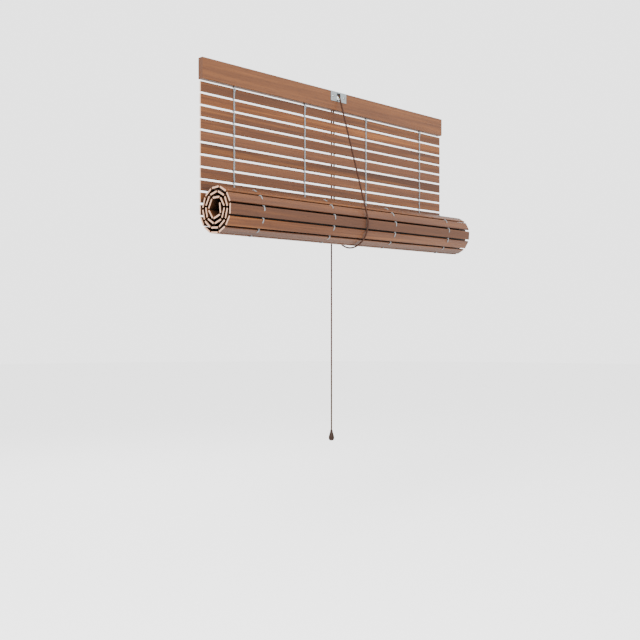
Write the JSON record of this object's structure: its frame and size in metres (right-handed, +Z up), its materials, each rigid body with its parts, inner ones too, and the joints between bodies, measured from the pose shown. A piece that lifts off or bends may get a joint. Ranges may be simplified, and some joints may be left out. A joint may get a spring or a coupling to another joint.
{
  "type": "roll-up slat blind",
  "caption": "Roll-up window blind of flat wooden slats tied into string columns, under a head board with a cord lock; a cord loop lifts the roll, and its tail ends in a tassel.",
  "frame": {"origin": "centre of the head board's top face", "axes": "+X along the head board and slats, -Y towards the room (the roll is on this side), +Z up"},
  "size_m": [0.95, 0.148, 0.975],
  "materials": {
    "head_wood": "satin lacquer, straight fine grain along the length",
    "slat_wood": "satin lacquer, straight fine grain along the length, pale cut ends",
    "plate_steel": "zinc-plated, satin",
    "screw_steel": "zinc-plated, bright",
    "pulley_plastic": "smooth white",
    "pin_steel": "bright",
    "roller_brass": "satin",
    "staple_steel": "galvanised",
    "string": "twisted light-grey cotton string",
    "cord": "dark brown braided cord",
    "tassel": "dark brown lacquer, satin"
  },
  "bodies": {
    "head": {"head_board": "head_wood", "lock_housing": "plate_steel", "housing_screw_left": "screw_steel", "housing_screw_right": "screw_steel", "pulley_pin": "pin_steel", "ladder_staples": "staple_steel", "cord_anchor": "staple_steel", "cord_knot": "cord", "ladder_string_1": "string", "ladder_string_2": "string", "ladder_string_3": "string", "ladder_string_4": "string", "lift_cord_front": "cord", "lift_cord_back": "cord"},
    "pulley": {"pulley": "pulley_plastic"},
    "lock_roller": {"lock_roller": "roller_brass"},
    "slat_01": {"slat_01": "slat_wood"},
    "slat_02": {"slat_02": "slat_wood"},
    "slat_03": {"slat_03": "slat_wood"},
    "slat_04": {"slat_04": "slat_wood"},
    "slat_05": {"slat_05": "slat_wood"},
    "slat_06": {"slat_06": "slat_wood"},
    "slat_07": {"slat_07": "slat_wood"},
    "slat_08": {"slat_08": "slat_wood"},
    "slat_09": {"slat_09": "slat_wood"},
    "slat_10": {"slat_10": "slat_wood"},
    "slat_11": {"slat_11": "slat_wood"},
    "roll": {"slat_12": "slat_wood", "slat_13": "slat_wood", "slat_14": "slat_wood", "slat_15": "slat_wood", "slat_16": "slat_wood", "slat_17": "slat_wood", "slat_18": "slat_wood", "slat_19": "slat_wood", "slat_20": "slat_wood", "slat_21": "slat_wood", "slat_22": "slat_wood", "slat_23": "slat_wood", "slat_24": "slat_wood", "slat_25": "slat_wood", "slat_26": "slat_wood", "slat_27": "slat_wood", "slat_28": "slat_wood", "slat_29": "slat_wood", "slat_30": "slat_wood", "slat_31": "slat_wood", "slat_32": "slat_wood", "slat_33": "slat_wood", "slat_34": "slat_wood", "slat_35": "slat_wood", "slat_36": "slat_wood", "slat_37": "slat_wood", "slat_38": "slat_wood", "slat_39": "slat_wood", "slat_40": "slat_wood", "slat_41": "slat_wood", "lift_cord_loop": "cord"},
    "pull_cord": {"pull_cord": "cord", "tassel": "tassel"}
  },
  "joints": [
    {"name": "fold_00", "type": "hinge", "parent": "head", "child": "slat_01", "pos_m": [0, 0.0015, -0.05345], "axis": [1, 0, 0], "range_deg": [-10, 0], "deforming": ["ladder_string_1", "ladder_string_2", "ladder_string_3", "ladder_string_4", "lift_cord_front", "lift_cord_back"]},
    {"name": "fold_01", "type": "hinge", "parent": "slat_01", "child": "slat_02", "pos_m": [0, 0.0015, -0.0845], "axis": [1, 0, 0], "range_deg": [-5, 0]},
    {"name": "fold_02", "type": "hinge", "parent": "slat_02", "child": "slat_03", "pos_m": [0, 0.0015, -0.1145], "axis": [1, 0, 0], "range_deg": [-5, 0]},
    {"name": "fold_03", "type": "hinge", "parent": "slat_03", "child": "slat_04", "pos_m": [0, 0.0015, -0.1445], "axis": [1, 0, 0], "range_deg": [-5, 0]},
    {"name": "fold_04", "type": "hinge", "parent": "slat_04", "child": "slat_05", "pos_m": [0, 0.0015, -0.1745], "axis": [1, 0, 0], "range_deg": [-25.83, 0]},
    {"name": "fold_05", "type": "hinge", "parent": "slat_05", "child": "slat_06", "pos_m": [0, 0.0015, -0.2045], "axis": [1, 0, 0], "range_deg": [-26.16, 0]},
    {"name": "fold_06", "type": "hinge", "parent": "slat_06", "child": "slat_07", "pos_m": [0, 0.0015, -0.2345], "axis": [1, 0, 0], "range_deg": [-26.5, 0]},
    {"name": "fold_07", "type": "hinge", "parent": "slat_07", "child": "slat_08", "pos_m": [0, 0.0015, -0.2645], "axis": [1, 0, 0], "range_deg": [-26.85, 0]},
    {"name": "fold_08", "type": "hinge", "parent": "slat_08", "child": "slat_09", "pos_m": [0, 0.0015, -0.2945], "axis": [1, 0, 0], "range_deg": [-27.21, 0]},
    {"name": "fold_09", "type": "hinge", "parent": "slat_09", "child": "slat_10", "pos_m": [0, 0.0015, -0.3245], "axis": [1, 0, 0], "range_deg": [-27.6, 0]},
    {"name": "fold_10", "type": "hinge", "parent": "slat_10", "child": "slat_11", "pos_m": [0, 0.0015, -0.3545], "axis": [1, 0, 0], "range_deg": [-28, 0]},
    {"name": "roll_fold", "type": "hinge", "parent": "slat_11", "child": "roll", "pos_m": [0, 0.0015, -0.3845], "axis": [1, 0, 0], "range_deg": [0, 28.91], "deforming": ["lift_cord_loop"]},
    {"name": "pull_cord_pull", "type": "slide", "parent": "head", "child": "pull_cord", "axis": [0, 0, -1], "range_m": [0, 0.25], "deforming": ["pull_cord"]},
    {"name": "pulley_spin", "type": "hinge", "parent": "head", "child": "pulley", "pos_m": [0, -0.006, -0.0165], "axis": [1, 0, 0], "continuous": true},
    {"name": "lock_roller_rise", "type": "slide", "parent": "head", "child": "lock_roller", "axis": [0, -0.6691, 0.7431], "range_m": [0, 0.0031]}
  ]
}
